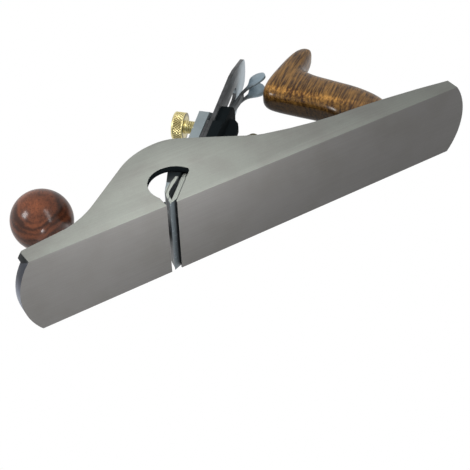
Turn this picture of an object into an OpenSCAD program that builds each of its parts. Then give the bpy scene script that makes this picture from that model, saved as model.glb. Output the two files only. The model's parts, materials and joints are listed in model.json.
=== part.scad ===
// Bench rabbet plane with a full-width iron, an adjustable frog and a screw lever cap.
// X runs from the toe (-) to the heel (+), Y across, Z up; the sole lies on z = 0.

/* [Body] */
// Length of the sole
body_len = 330; // [300:1:360]
// Width of the sole and of the cutting edge
body_w = 54; // [50:0.5:62]
// Thickness of the sole
sole_t = 6.9; // [6:0.1:8]
// Thickness of each cheek
cheek_t = 4; // [3:0.1:5]
// Depth of the round ends of the sole
end_bow = 9.2; // [4:0.2:14]
// Height of the cheeks at the toe
toe_h = 10.9; // [8:0.1:14]
// Height of the arch of the cheeks
arch_h = 57.5; // [52:0.5:64]
// Height of the cheeks at the heel
heel_h = 9.6; // [8:0.1:12]
// Radius of the opening in each cheek
eye_r = 16.2; // [15:0.1:17]
// Length of the mouth in the sole
mouth_len = 7; // [6.2:0.1:9]
// Height of the seat that carries the frog
seat_h = 10; // [9:0.5:12]

/* [Bed and frog] */
// Angle of the bed
bed_angle = 45; // [44:0.5:46]
// Distance from the middle of the sole to the foot of the bed
bed_x = 62.9; // [60:0.1:66]
// Thickness of the frog's face plate
plate_t = 7; // [6:0.2:8]
// Half width of the frog's arched top
frog_half_w = 18; // [16:0.5:19]
// Half width of the frog's face below its shoulders
frog_wide = 22; // [20:0.2:22.4]
// Distance up the bed to the frog's shoulders
frog_step_s = 93; // [90:0.5:96]
// Distance up the bed to the centre of the frog's arched top
frog_arch_s = 108.5; // [106:0.5:112]

/* [Cutter] */
// Thickness of the iron
iron_t = 2.8; // [2.4:0.1:3.2]
// Half width of the iron above the shoulders
neck_half_w = 20; // [18:0.1:21]
// Distance up the bed to the shoulders
shoulder_s = 23.8; // [20:0.2:26]
// Distance up the bed to the start of the taper
taper_s = 148; // [140:1:155]
// Distance up the bed to the top of the iron
iron_top_s = 190.5; // [184:0.5:196]
// Half width of the iron where its top rounds over
top_half_w = 11.6; // [8:0.2:14]
// Height of the cutting edge above the sole at rest
edge_lift = 0.3; // [0.1:0.05:0.8]
// Grinding angle of the bevel
grind_angle = 25; // [22:1:30]
// Thickness of the cap iron
cap_t = 2; // [1.6:0.1:2.4]
// Height of the hollow under the cap iron's hump
hump = 3.4; // [2.4:0.1:3.8]

/* [Lever cap] */
// Half width of the lever cap
lever_half_w = 20; // [18:0.5:21.5]
// Thickness of the lever cap at its upper end
lever_t = 7; // [6:0.2:8]
// Distance up the bed to the thumb screw
thumb_s = 110; // [108:0.5:112]
// Diameter of the thumb screw's head
thumb_d = 20; // [16:0.5:24]
// Thickness of the thumb screw's head
thumb_t = 8.2; // [6:0.2:10]
// Diameter of the thumb screw's shank
thumb_shank_d = 9.4; // [8:0.2:10]

/* [Adjusters] */
// Diameter of the depth wheel
wheel_d = 33.5; // [28:0.5:34]
// Height of the depth wheel's axis above the sole
wheel_z = 38; // [37:0.5:40]
// Distance from the middle of the sole to the groove of the depth wheel
groove_x = 15; // [14.4:0.1:16]
// Diameter of the stud that the depth wheel turns on
stud_d = 7; // [6:0.5:8]
// Distance of the depth lever's pin behind the bed
yoke_pin_t = 12.2; // [11.5:0.1:13]
// Diameter of the depth lever's pin
yoke_pin_d = 4; // [3:0.5:5]
// Distance up the bed to the lateral lever's pivot
lateral_s = 117; // [116:0.5:118]
// Diameter of the lateral lever's pivot
lateral_pin_d = 5; // [4:0.5:6]
// Width of the lateral lever's stem
stem_w = 6.6; // [5:0.2:8]
// Thickness of the lateral lever
stem_t = 1.8; // [1.2:0.1:1.8]

/* [Handles] */
// Diameter of the front knob's ball
knob_d = 39.4; // [34:0.2:44]
// Height of the centre of the front knob's ball
knob_z = 59.2; // [54:0.2:62]
// Distance from the toe to the front knob
knob_in = 38.8; // [34:0.1:42]
// Distance from the foot of the bed to the front of the tote's foot
tote_out = 128.9; // [127:0.1:133]
// Thickness of the tote
tote_w = 23; // [18:0.5:24]
// Lean of the tote's rod
tote_lean = 22; // [20:0.5:24]

/* [Hidden] */
$fn = 64;
fit = 0.05;          // radial clearance of turning fits and of threads, drawn plain
slip = 0.3;          // clearance between parts that slide past each other
far = 400;           // longer than anything here, for cutting solids
paint = "#17191a";
iron_grey = "#9aa19b";
steel = "#a9b1b8";
brass = "#d9c27a";
rosewood = "#5a2a1c";
figured_wood = "#8a5a2c";

half_w = body_w / 2;
inner_half_w = half_w - cheek_t;
end_r = (end_bow * end_bow + half_w * half_w) / (2 * end_bow);
end_x = body_len / 2 - end_bow;
eye_x = -bed_x + 8.4;
eye_z = eye_r;
mouth_front = -bed_x + 1.2 - mouth_len;
iron_s0 = edge_lift / sin(bed_angle) - iron_t / tan(bed_angle);
cap_top = iron_t + cap_t;
lever_under = cap_top + slip + 0.1;
lever_top = lever_under + lever_t;
lever_screw_s = 48;
cap_screw_s = 70;
cap_screw_d = 7.8;
cap_top_s = 118;
hump_top = cap_top + hump + 0.5;
lever_end_s = 117.5;
slot_top_s = 155;
yoke_s = 88;
tip_r = 2.6;
roller_s = 104;
pocket_t = 13.2;
knob_x = body_len / 2 - knob_in;
knob_r = knob_d / 2;
knob_foot = sole_t + 2.1;
tote_x = tote_out - bed_x;
tote_rod_x = tote_x + 47;
tote_toe_x = tote_x + 8;
ledge_z = sole_t + 1.1;
rod_d = 6;
yoke_x = -bed_x + (yoke_s + yoke_pin_t) * cos(bed_angle);
yoke_z = (yoke_s - yoke_pin_t) * sin(bed_angle);
frog_tail_x = 14;
frog_screw_x = -30;
frog_screw_y = 10;
frog_screw_seat = 20;
adjust_z = 14.4;
adjust_boss_x = [34, 42];
adjust_boss_top = 18.6;
clip_screw_z = 21.2;
stem_top = -0.4;
stem_bend_r = 60;
stem_bend = 9.5;

// Coordinates up the bed, across and out of it
module on_bed() translate([-bed_x, 0, 0]) rotate([0, -bed_angle, 0]) children();
// Extrudes a profile drawn in X and Z across the plane, between two distances from the middle
module across(y0, y1) translate([0, y1, 0]) rotate([90, 0, 0]) linear_extrude(y1 - y0) children();
// The same on both sides of the middle
module both_sides(y0, y1) {
    across(y0, y1) children();
    across(-y1, -y0) children();
}
// An outline that is the same on both sides of the middle, from the points of one side
module mirrored(p) polygon(concat([for (q = p) [q[0], -q[1]]], [for (i = [len(p) - 1:-1:0]) p[i]]));
// A slot with round ends along X
module slot(x0, x1, d) {
    translate([x0, 0]) circle(d = d);
    translate([x1, 0]) circle(d = d);
    translate([x0, -d / 2]) square([x1 - x0, d]);
}
// A cylinder along X from x0 to x1
module rod_x(x0, x1, d, z) translate([x0, 0, z]) rotate([0, 90, 0]) cylinder(d = d, h = x1 - x0);
// Screw slot cut across a head that faces up
module driver_slot(len, w, depth) translate([-len / 2, -w / 2, -depth]) cube([len, w, depth + 1]);

// One step of a path: straight when turn is 0, else an arc of radius size through turn degrees
function arc_points(p, h, r, turn, n) = [for (i = [1:n]) let (a = turn * i / n, k = turn > 0 ? 1 : -1)
    p + k * r * [sin(h + a) - sin(h), cos(h) - cos(h + a)]];
function path(p, h, steps, i = 0) = i == len(steps) ? [] :
    let (s = steps[i], n = ceil(abs(s[1]) / 4))
    let (q = s[1] == 0 ? [p + s[0] * [cos(h), sin(h)]] : arc_points(p, h, s[0], s[1], n))
    concat(q, path(q[len(q) - 1], h + s[1], steps, i + 1));

// Smooth open curve through points
function blend(a, b, c, d, t) = 0.5 * (2 * b + (c - a) * t + (2 * a - 5 * b + 4 * c - d) * t * t
    + (3 * b - a - 3 * c + d) * t * t * t);
function curve(p, n) = let (m = len(p) - 1) concat([for (i = [0:m - 1], k = [0:n - 1])
    blend(p[max(i - 1, 0)], p[i], p[i + 1], p[min(i + 2, m)], k / n)], [p[m]]);

// Outline of the sole: straight sides with round ends
module sole_plan() intersection() {
    square([body_len, body_w], center = true);
    union() {
        for (k = [-1, 1]) translate([k * (body_len / 2 - end_r), 0]) circle(r = end_r, $fn = 128);
        square([body_len - 2 * end_r, body_w], center = true);
    }
}

// Top edge of a cheek, drawn both ways from the crown of the arch
crown_x = -bed_x + 19;
toe_run = path([crown_x, arch_h], 180, [[52, 37], [37.6 + (arch_h - 57.5) * 1.66, 0], [60, -22.6]]);
heel_run = path([crown_x, arch_h], 0, [[28, -29.5], [45 + (arch_h - 57.5) * 2.03, 0], [40, 14],
    [270, 14.4]]);
toe_last = toe_run[len(toe_run) - 1];
heel_last = heel_run[len(heel_run) - 1];
module cheek_profile() {
    pts = concat([[body_len / 2, 0], [body_len / 2, heel_h - 0.6], [end_x, heel_h]],
        [[(2 * end_x + heel_last[0]) / 3, (2 * heel_h + heel_last[1]) / 3 + 0.8],
         [(end_x + 2 * heel_last[0]) / 3, (heel_h + 2 * heel_last[1]) / 3 + 0.8]],
        [for (i = [len(heel_run) - 1:-1:0]) heel_run[i]], [[crown_x, arch_h]], toe_run,
        [[-end_x, toe_h], [-body_len / 2, toe_h - 0.6], [-body_len / 2, 0]]);
    polygon(pts);
}

// Opening in the cheek: a circle cut off by the bed, with the upper corner rounded
module eye_profile() {
    corner_r = 3;
    dir = [cos(bed_angle), sin(bed_angle)];
    out = [-dir[1], dir[0]];
    foot = [-bed_x, 0] - slip * out;
    c = [eye_x, eye_z];
    depth = (c - foot) * out;
    along = (c - foot) * dir;
    s = along + sqrt(pow(eye_r - corner_r, 2) - pow(depth - corner_r, 2));
    k = foot + s * dir + corner_r * out;
    touch = c + (k - c) * eye_r / (eye_r - corner_r);
    low = along - sqrt(pow(eye_r, 2) - pow(depth, 2));
    from = foot + low * dir;
    a0 = atan2(from[1] - c[1], from[0] - c[0]);
    a1 = atan2(touch[1] - c[1], touch[0] - c[0]);
    polygon(concat(
        [for (i = [0:40]) let (a = a1 + (a0 + 360 - a1) * i / 40) c + eye_r * [cos(a), sin(a)]],
        [for (i = [0:8]) let (a = bed_angle - 90 + (a1 - bed_angle + 90) * i / 8)
            k + corner_r * [cos(a), sin(a)]]));
}

// Mouth: the gap across the sole, with its rear wall along the bed
module mouth_profile() polygon([[mouth_front, -1], [-bed_x + 1.2, -1], [-bed_x + 1.2, 0.85],
    [-bed_x + slip / sin(bed_angle) + 12 / tan(bed_angle), 12], [mouth_front, 12]]);

module body() color(iron_grey) difference() {
    union() {
        linear_extrude(sole_t) sole_plan();
        // cheeks, whose ends follow the round ends of the sole
        intersection() {
            both_sides(inner_half_w, half_w) cheek_profile();
            linear_extrude(arch_h + 10) sole_plan();
        }
        // boss of the front knob
        translate([-knob_x, 0, sole_t - 1]) cylinder(d = 26, h = knob_foot - sole_t + 1);
        // ribs in front of the mouth and behind the frog's seat
        for (x = [mouth_front - 5, 52]) translate([x, -inner_half_w, sole_t])
            cube([5, 2 * inner_half_w, 2]);
        // seat of the frog
        translate([-bed_x, -16, sole_t]) cube([frog_tail_x + bed_x, 32, seat_h - sole_t]);
        // boss of the frog's adjusting screw
        translate([adjust_boss_x[0], -8, sole_t])
            cube([adjust_boss_x[1] - adjust_boss_x[0], 16, adjust_boss_top - sole_t]);
        // ledge of the tote
        translate([tote_x, -9, sole_t]) cube([68, 18, ledge_z - sole_t]);
    }
    across(-half_w - 1, half_w + 1) mouth_profile();
    both_sides(inner_half_w - 1, half_w + 1) eye_profile();
    // what lies in front of the bed is open, so that the iron lies flat on the casting
    across(-inner_half_w, inner_half_w) polygon([[mouth_front, 5], [mouth_front, 30],
        [-bed_x + 30.4, 30], [-bed_x + 5.4, 5]]);
    translate([-knob_x, 0, 1.4]) cylinder(d = rod_d + 2 * fit, h = 20);
    for (y = [-1, 1]) translate([frog_screw_x, y * frog_screw_y, 1.8]) cylinder(d = 6 + 2 * fit, h = 20);
    rod_x(adjust_boss_x[0] - 1, adjust_boss_x[1] + 1, 6 + 2 * fit, adjust_z);
    translate([tote_rod_x, 0, ledge_z]) rotate([0, -tote_lean, 0])
        translate([0, 0, -5.4]) cylinder(d = rod_d + 2 * fit, h = 9);
    translate([tote_toe_x, 0, 1.6]) cylinder(d = 5 + 2 * fit, h = 20);
}

// Face of the frog: parallel sides, shoulders and an arched top
module frog_face() mirrored(concat([[0, frog_wide], [frog_step_s - 1.5, frog_wide],
    [frog_step_s, frog_wide - 1.5], [frog_step_s, frog_half_w]],
    [for (a = [0:5:85]) [frog_arch_s + frog_half_w * sin(a), frog_half_w * cos(a)]]));

// Side view of the two rear ribs, which carry the depth lever's pin
module rib_profile() {
    polygon([[-40, seat_h], [frog_tail_x, seat_h], [frog_tail_x, 24], [8, 26], [8, 46],
        [yoke_x + 3, yoke_z - 4], [yoke_x + 4.6, yoke_z + 1], [17.2, 59.4], [20.9, 63.4],
        [23.1, 67.5], [23.5, 71.2], [21.6, 75], [15, 75.6], [-28, 31]]);
    translate([yoke_x, yoke_z]) circle(r = 5);
}

module frog() color(paint) difference() {
    union() {
        difference() {
            on_bed() translate([0, 0, -plate_t]) linear_extrude(plate_t) frog_face();
            translate([-far / 2, -far / 2, seat_h - far]) cube(far);
        }
        // solid foot under the face
        across(-16, 16) polygon([[seat_h - bed_x, seat_h], [-6, seat_h], [-6, 17], [-12, 27],
            [-17, 36], [-bed_x + 42, 42], [seat_h - bed_x + 0.01, seat_h + 0.01]]);
        across(-9, 9) polygon([[-20, seat_h], [frog_tail_x, seat_h], [frog_tail_x, 24], [0, 24],
            [-20, 30]]);
        both_sides(5.5, 9.5) rib_profile();
        rod_x(-14, 9, 15, wheel_z);
        on_bed() translate([lever_screw_s, 0, -16]) cylinder(d = 13, h = 12);
    }
    // slots for the hold-down screws and room for their heads
    for (y = [-1, 1]) translate([frog_screw_x, y * frog_screw_y, 0]) {
        linear_extrude(40) slot(-1.4, 1.4, 6.8);
        translate([0, 0, frog_screw_seat]) linear_extrude(40) slot(-1.4, 1.4, 11.4);
    }
    on_bed() {
        // window for the depth lever's tip
        translate([yoke_s - 6, -4, -plate_t - 1]) cube([12, 8, plate_t + 2]);
        // channel for the head of the cap iron's screw
        translate([0, 0, -4.2]) linear_extrude(6) slot(cap_screw_s - 1.5, cap_screw_s + 1.5, 18);
        // recess for the lateral lever
        translate([roller_s - 7, -8, stem_top - stem_t - 0.2]) cube([40, 16, 6]);
        translate([lateral_s, 0, -far / 2]) cylinder(d = lateral_pin_d + 2 * fit, h = far);
        translate([lever_screw_s, 0, -17]) cylinder(d = 6 + 2 * fit, h = 20);
    }
    // gap between the ribs for the depth lever
    across(-5.5, 5.5) polygon([[yoke_x - 7, 46.5], [40, 46.5], [40, 90],
        [yoke_x + 12, 62 + 8], [yoke_x - 3.4, 62]]);
    translate([yoke_x, -20, yoke_z]) rotate([-90, 0, 0]) cylinder(d = yoke_pin_d + 2 * fit, h = 40);
    rod_x(-14, 20, stud_d + 2 * fit, wheel_z);
    rod_x(frog_tail_x - 4, frog_tail_x + 1, 7.8, adjust_z);
    rod_x(frog_tail_x - 7, frog_tail_x + 1, 3 + 2 * fit, clip_screw_z);
}

module frog_screws() color(steel) for (y = [-1, 1]) translate([frog_screw_x, y * frog_screw_y, 0])
    difference() {
        union() {
            translate([0, 0, 2.6]) cylinder(d = 6, h = 20);
            translate([0, 0, frog_screw_seat + 1.2]) cylinder(d = 9.6, h = 3.4);
        }
        translate([0, 0, frog_screw_seat + 4.6]) driver_slot(12, 1.2, 1.6);
    }

module frog_washers() color(steel) for (y = [-1, 1])
    translate([frog_screw_x, y * frog_screw_y, frog_screw_seat]) difference() {
        cylinder(d = 10.4, h = 1.2);
        translate([0, 0, -1]) cylinder(d = 6 + 2 * fit, h = 4);
    }

module frog_clip() color(steel) difference() {
    translate([frog_tail_x, -6, seat_h + 1]) cube([1.6, 12, 13.4]);
    rod_x(frog_tail_x - 1, frog_tail_x + 3, 4 + 2 * fit, adjust_z);
    translate([frog_tail_x - 1, -2 - fit, 0]) cube([4, 4 + 2 * fit, adjust_z]);
    rod_x(frog_tail_x - 1, frog_tail_x + 3, 3 + 2 * fit, clip_screw_z);
}

module frog_clip_screw() color(steel) difference() {
    union() {
        rod_x(frog_tail_x - 6, frog_tail_x + 3, 3, clip_screw_z);
        rod_x(frog_tail_x + 1.6, frog_tail_x + 3.2, 5.4, clip_screw_z);
    }
    translate([frog_tail_x + 2.5, -4, clip_screw_z - 0.4]) cube([2, 8, 0.8]);
}

module frog_adjusting_screw() color(steel) difference() {
    union() {
        rod_x(frog_tail_x - 3, frog_tail_x - 0.15, 7, adjust_z);
        rod_x(frog_tail_x - 1, frog_tail_x + 3, 4, adjust_z);
        rod_x(frog_tail_x + 1.75, frog_tail_x + 5, 7, adjust_z);
        rod_x(frog_tail_x + 4, adjust_boss_x[1] + 3, 6, adjust_z);
        rod_x(adjust_boss_x[1] + 2.4, adjust_boss_x[1] + 6.4, 9, adjust_z);
    }
    translate([adjust_boss_x[1] + 5, -6, adjust_z - 0.6]) cube([3, 12, 1.2]);
}

module depth_stud() color(steel) rod_x(-12, groove_x + 13, stud_d, wheel_z);

// Depth wheel: knurled disc, neck with the lever's groove and a small front collar
module depth_wheel() color(brass) translate([groove_x, 0, wheel_z]) rotate([0, 90, 0]) difference() {
    rotate_extrude($fn = 96) polygon([[0, -4.7], [8, -4.7], [9, -3.9], [9, -2.7], [7, -2.7], [7, 2.7],
        [wheel_d / 2 - 0.8, 2.7], [wheel_d / 2, 3.4], [wheel_d / 2, 6.7], [wheel_d / 2 - 0.8, 7.4],
        [10, 7.4], [9, 9.4], [0, 9.4]]);
    translate([0, 0, -10]) cylinder(d = stud_d + 2 * fit, h = 30);
}

// Depth lever: a tip in the cap iron's slot and a fork round the depth wheel's neck
module depth_lever() color(steel) difference() {
    union() {
        translate([yoke_x, -5.2, yoke_z]) rotate([-90, 0, 0]) cylinder(r = 4.6, h = 10.4);
        translate([0, 2.9, 0]) rotate([90, 0, 0]) linear_extrude(5.8) {
            translate([yoke_x, yoke_z]) rotate(bed_angle + 90) {
                polygon([[0, -4], [yoke_pin_t, -2.4], [yoke_pin_t + 2.2, -tip_r + 0.2],
                    [yoke_pin_t + 2.2, tip_r - 0.2], [yoke_pin_t, 2.4], [0, 4]]);
                translate([yoke_pin_t + iron_t + cap_t / 2 - 1, 0]) circle(r = tip_r);
            }
            polygon([[yoke_x - 2, yoke_z - 4], [groove_x + 1.5, yoke_z - 5.6],
                [groove_x + 1.5, yoke_z - 2], [yoke_x + 2, yoke_z + 4]]);
        }
        difference() {
            translate([groove_x - 1.5, -10.6, wheel_z - 2]) cube([3, 21.2, yoke_z - wheel_z - 0.6]);
            rod_x(groove_x - 3, groove_x + 3, 15.4, wheel_z);
            translate([groove_x - 3, -7.7, wheel_z - 12]) cube([6, 15.4, 12]);
        }
        for (y = [-1, 1]) translate([groove_x, y * 9.15, wheel_z - 2])
            rotate([90, 0, 0]) cylinder(d = 3, h = 2.9, center = true);
    }
    translate([yoke_x, -10, yoke_z]) rotate([-90, 0, 0]) cylinder(d = yoke_pin_d + 2 * fit, h = 20);
}

module depth_lever_pin() color(steel) translate([yoke_x, -9.6, yoke_z]) rotate([-90, 0, 0])
    cylinder(d = yoke_pin_d, h = 19.2);

// Lateral lever: a flat arm in the frog's recess, a stem bent back, and two folded finger ears
function stem_points(off) = let (p = [lateral_s + 7, stem_top - off])
    concat([[lateral_s - 10, p[1]]], [p], arc_points(p, 0, stem_bend_r - off, -stem_bend, 4));
stem_dir = [cos(stem_bend), -sin(stem_bend)];
stem_end = [lateral_s + 7, stem_top] + stem_bend_r * [sin(stem_bend), cos(stem_bend) - 1];
// Side view of an ear, from the end of the stem's bend
module ear_outline() polygon(curve([[18, 0], [24, -1.1], [29.5, -1.9], [34, -1], [39, 0.3], [43, -0.3],
    [46, -3], [46.9, -6.4], [45.4, -9.2], [41.8, -11.4], [37.4, -11.4], [33, -9.2], [29, -6.2],
    [24.5, -3.4], [18, -stem_t]], 4));
module lateral_lever() color(steel) on_bed() difference() {
    union() {
        across(-stem_w / 2, stem_w / 2) polygon(concat(stem_points(0), [stem_end + 22 * stem_dir],
            [stem_end + 22 * stem_dir - stem_t * [-stem_dir[1], stem_dir[0]]],
            [for (i = [5:-1:0]) stem_points(stem_t)[i]]));
        translate([0, 0, stem_top - stem_t]) linear_extrude(stem_t) {
            translate([lateral_s, 0]) circle(r = 5.4);
            slot(roller_s, lateral_s, 6.6);
        }
        for (k = [0, 1]) mirror([0, k, 0]) translate([stem_end[0], stem_w / 2 - 0.4, stem_end[1]])
            rotate([0, stem_bend, 0]) rotate([20, 0, 0]) across(-1, 0.6) ear_outline();
    }
    translate([lateral_s, 0, -5]) cylinder(d = lateral_pin_d + 2 * fit, h = 8);
    translate([roller_s, 0, -5]) cylinder(d = 3 + 2 * fit, h = 8);
}

module lateral_pin() color(steel) on_bed() translate([lateral_s, 0, 0]) {
    translate([0, 0, -plate_t - 1.4]) cylinder(d = lateral_pin_d, h = plate_t + 1.4 + stem_top + 0.2);
    translate([0, 0, -plate_t - 1.6]) cylinder(d = lateral_pin_d + 2.4, h = 1.6);
}

module lateral_roller() color(steel) on_bed() translate([roller_s, 0, stem_top + 0.1]) difference() {
    cylinder(d = 9.4, h = 2.2);
    translate([0, 0, -1]) cylinder(d = 3 + 2 * fit, h = 4);
}

module roller_rivet() color(steel) on_bed() translate([roller_s, 0, stem_top - stem_t])
    cylinder(d = 3, h = stem_t + 2.3);

// One side of both irons' outline: full width at the edge, then narrow between the cheeks
shoulder_fillet = 3;
iron_side = concat([[iron_s0 - 5, half_w], [shoulder_s, half_w]],
    [for (a = [0:15:90]) [shoulder_s + shoulder_fillet * (1 - cos(a)),
        neck_half_w + shoulder_fillet * (1 - sin(a))]]);
iron_corner = 7;

module cutter_iron() color(steel) on_bed() difference() {
    intersection() {
        across(-half_w, half_w) polygon([[iron_s0, iron_t], [iron_s0 + iron_t / tan(grind_angle), 0],
            [iron_top_s, 0], [iron_top_s, iron_t]]);
        translate([0, 0, -1]) linear_extrude(iron_t + 2) mirrored(concat(iron_side,
            [[taper_s, neck_half_w], [taper_s + 10, neck_half_w - 1.4]],
            [for (a = [10:16:74]) [iron_top_s + iron_corner * (sin(a) - 1) - 0.8,
                top_half_w + iron_corner * (cos(a) - 1)]],
            [for (y = [4, 2]) [iron_top_s - 0.04 * y * y, y]]));
    }
    translate([0, 0, -1]) linear_extrude(iron_t + 2) {
        slot(52, slot_top_s, 10);
        translate([52, 0]) circle(d = 18);
    }
}

// Side view of the cap iron: a hump in front, flat behind
cap_inner = curve([[iron_s0 + 4.2, iron_t], [6, iron_t + 0.8 * hump], [9.4, iron_t + hump],
    [15, iron_t + 0.86 * hump], [24, iron_t + 0.47 * hump], [33, iron_t + 0.1 * hump], [38, iron_t]], 6);
cap_outer = curve([[iron_s0 + 1, iron_t], [1.6, iron_t + 0.6 * hump], [5, iron_t + 1.3 * hump],
    [8.6, hump_top], [14.4, hump_top],
    [20, iron_t + 0.7 * hump + cap_t], [28, iron_t + 0.28 * hump + cap_t], [40, cap_top]], 6);
module cap_iron() color(steel) on_bed() difference() {
    intersection() {
        across(-half_w, half_w) polygon(concat(cap_outer, [[cap_top_s, cap_top], [cap_top_s, iron_t]],
            [for (i = [len(cap_inner) - 1:-1:0]) cap_inner[i]]));
        linear_extrude(20) mirrored(concat(iron_side, [[94, neck_half_w], [95.5, neck_half_w - 3],
            [106, 14], [114, 9], [cap_top_s, 4]]));
    }
    translate([0, 0, -1]) linear_extrude(20) slot(44, 56, 9);
    translate([yoke_s - tip_r - 0.4, -4.2, -1]) cube([2 * tip_r + 0.8, 8.4, 20]);
    translate([cap_screw_s, 0, -1]) cylinder(d = cap_screw_d + 2 * fit, h = 20);
}

module cap_iron_screw() color(steel) on_bed() translate([cap_screw_s, 0, 0]) difference() {
    union() {
        cylinder(d = cap_screw_d, h = cap_top);
        translate([0, 0, -3.2]) cylinder(d = 15, h = 3.2);
    }
    translate([0, 0, -3.2]) mirror([0, 0, 1]) driver_slot(20, 1.6, 1.4);
}

// Lever cap: nose on the hump, keyhole for its screw, threaded end for the thumb screw
module lever_cap() color(steel) on_bed() difference() {
    intersection() {
        across(-half_w, half_w) polygon(concat([[12, hump_top + slip], [16.5, hump_top + slip]],
            curve([[16.5, hump_top + slip], [26, lever_under + 2.4], [40, lever_under],
                [50, lever_under]], 6),
            [[lever_end_s, lever_under], [lever_end_s, lever_top]],
            curve([[103, lever_top], [60, lever_top - 0.5], [46, 14.2], [35, 14.6], [24, 12.6],
                [14, 10.9], [12, hump_top + slip + 0.8]], 6)));
        linear_extrude(30) mirrored([[12, inner_half_w - 1], [32, inner_half_w - 1], [44, lever_half_w],
            [103, lever_half_w], [112, 13], [lever_end_s, 5]]);
    }
    translate([0, 0, -1]) linear_extrude(40) {
        slot(lever_screw_s - 12, lever_screw_s, 6.8);
        translate([lever_screw_s - 12, 0]) circle(d = 13);
    }
    translate([0, 0, pocket_t]) linear_extrude(20) slot(lever_screw_s - 13, lever_screw_s + 1, 14);
    // hollow between the side walls
    translate([58, -14, 0]) cube([36, 28, lever_under + 3.2]);
    translate([thumb_s, 0, 0]) cylinder(d = thumb_shank_d + 2 * fit, h = 40);
}

module lever_cap_screw() color(steel) on_bed() translate([lever_screw_s, 0, 0]) difference() {
    union() {
        translate([0, 0, -15]) cylinder(d = 6, h = 15 + pocket_t + 1);
        translate([0, 0, pocket_t + 0.1]) cylinder(d = 12, h = 2);
        translate([0, 0, pocket_t + 2.1]) cylinder(d1 = 12, d2 = 9, h = 1.2);
    }
    translate([0, 0, pocket_t + 3.3]) driver_slot(14, 1.4, 1.6);
}

module thumb_screw() color(brass) on_bed() translate([thumb_s, 0, 0]) {
    translate([0, 0, cap_top + 0.15]) cylinder(d = thumb_shank_d - 1.6, h = 2);
    translate([0, 0, cap_top + 1]) cylinder(d = thumb_shank_d, h = 24.6 - cap_top);
    translate([0, 0, 24.6]) rotate_extrude() polygon([[0, 0], [thumb_d / 2 - 1.2, 0],
        [thumb_d / 2, 1], [thumb_d / 2, thumb_t - 1.8], [thumb_d / 2 - 1.6, thumb_t], [0, thumb_t]]);
}

// Front knob: a ball on a waisted neck with a flared foot
module front_knob() color(rosewood) translate([-knob_x, 0, 0]) difference() {
    union() {
        translate([0, 0, knob_z]) sphere(d = knob_d, $fn = 96);
        rotate_extrude($fn = 96) polygon(concat([[0, knob_foot], [14, knob_foot], [14.6, knob_foot + 2]],
            curve([[14.6, knob_foot + 2], [13.6, knob_foot + 5], [11.4, knob_foot + 11.5],
                [10.1, knob_foot + 19.5], [9.9, knob_z - 23], [10.7, knob_z - 18],
                [knob_r * sin(40), knob_z - knob_r * cos(40)]], 6),
            [[0, knob_z - knob_r * cos(40)]]));
    }
    cylinder(d = 6.4, h = 100);
    translate([0, 0, knob_z + knob_r - 6]) cylinder(d = 12.8, h = 20);
}
module knob_rod() color(steel) translate([-knob_x, 0, 2]) cylinder(d = rod_d, h = knob_z + knob_r - 4.5);
module knob_nut() color(brass) translate([-knob_x, 0, knob_z + knob_r - 6]) difference() {
    rotate_extrude() polygon([[0, 0], [6.2, 0], [6.2, 5.2], [5.4, 6.3], [0, 7]]);
    translate([0, 0, -1]) cylinder(d = rod_d + 2 * fit, h = 4.6);
    translate([0, 0, 7]) driver_slot(16, 1.4, 2);
}

// Tote: its front edge, rear edge and half thickness from its foot to the tip of its horn,
// with distances along and above the foot
tote_front = [[0.5, 0], [0, 8], [4.6, 14.4], [14, 19.6], [21, 28], [21.8, 38], [15.6, 51],
    [6, 64], [-2.2, 75.6], [-5.2, 82.6], [-3.2, 89], [4.6, 95.8], [18.6, 104.2], [33, 112],
    [43.6, 116.4], [51, 116.8], [54.8, 115.2]];
tote_rear = [[67, 0], [66.8, 7], [64.8, 12.4], [62.8, 18.6], [60.8, 27], [59.4, 38], [55.2, 51],
    [47.8, 64.8], [40.2, 78.4], [37.4, 85.4], [36.2, 90], [36.6, 93.2], [39.2, 96.8],
    [44.6, 101.4], [50.4, 106.2], [54.8, 110.4], [56.2, 113.2]];
tote_nut_h = tote_front[11][1] + 1.2; // seat of the nut, just above the tote's narrow neck
tote_half = [for (k = [1, 1, 1, 1, 1, 1, 1, 1, 1, 1, 1, 1, 0.98, 0.94, 0.84, 0.66, 0.26]) k * tote_w / 2];
function tote_ring(f, r, h, power = 3) = let (m = (f + r) / 2, a = (r - f) / 2)
    [for (k = [0:27]) let (t = 360 * k / 28, c = cos(t), v = sin(t))
        let (u = sign(c) * pow(abs(c), 2 / power), w = sign(v) * pow(abs(v), 2 / power))
        [tote_x + m[0] + u * a[0], h * w, ledge_z + m[1] + u * a[1]]];
module rear_tote() color(figured_wood) difference() {
    front = curve(tote_front, 2);
    rear = curve(tote_rear, 2);
    half = curve(tote_half, 2);
    rings = [for (i = [0:len(front) - 1]) tote_ring(front[i], rear[i], half[i])];
    n = len(rings[0]);
    r = len(rings);
    polyhedron([for (ring = rings) for (p = ring) p], concat(
        [[for (i = [n - 1:-1:0]) i]], [[for (i = [0:n - 1]) (r - 1) * n + i]],
        [for (j = [0:r - 2], i = [0:n - 1]) let (k = (i + 1) % n)
            [j * n + i, j * n + k, (j + 1) * n + k, (j + 1) * n + i]]), convexity = 8);
    translate([tote_rod_x, 0, ledge_z]) rotate([0, -tote_lean, 0]) {
        translate([0, 0, -5]) cylinder(d = rod_d + 0.4, h = tote_nut_h + 6);
        translate([0, 0, tote_nut_h]) cylinder(d = 12.8, h = 40);
    }
    translate([tote_toe_x, 0, 0]) cylinder(d = 5.4, h = 60);
    translate([tote_toe_x, 0, ledge_z + 12]) cylinder(d = 10.2, h = 30);
}
module tote_rod() color(steel) translate([tote_rod_x, 0, ledge_z]) rotate([0, -tote_lean, 0])
    translate([0, 0, -5]) cylinder(d = rod_d, h = tote_nut_h + 7);
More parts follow.
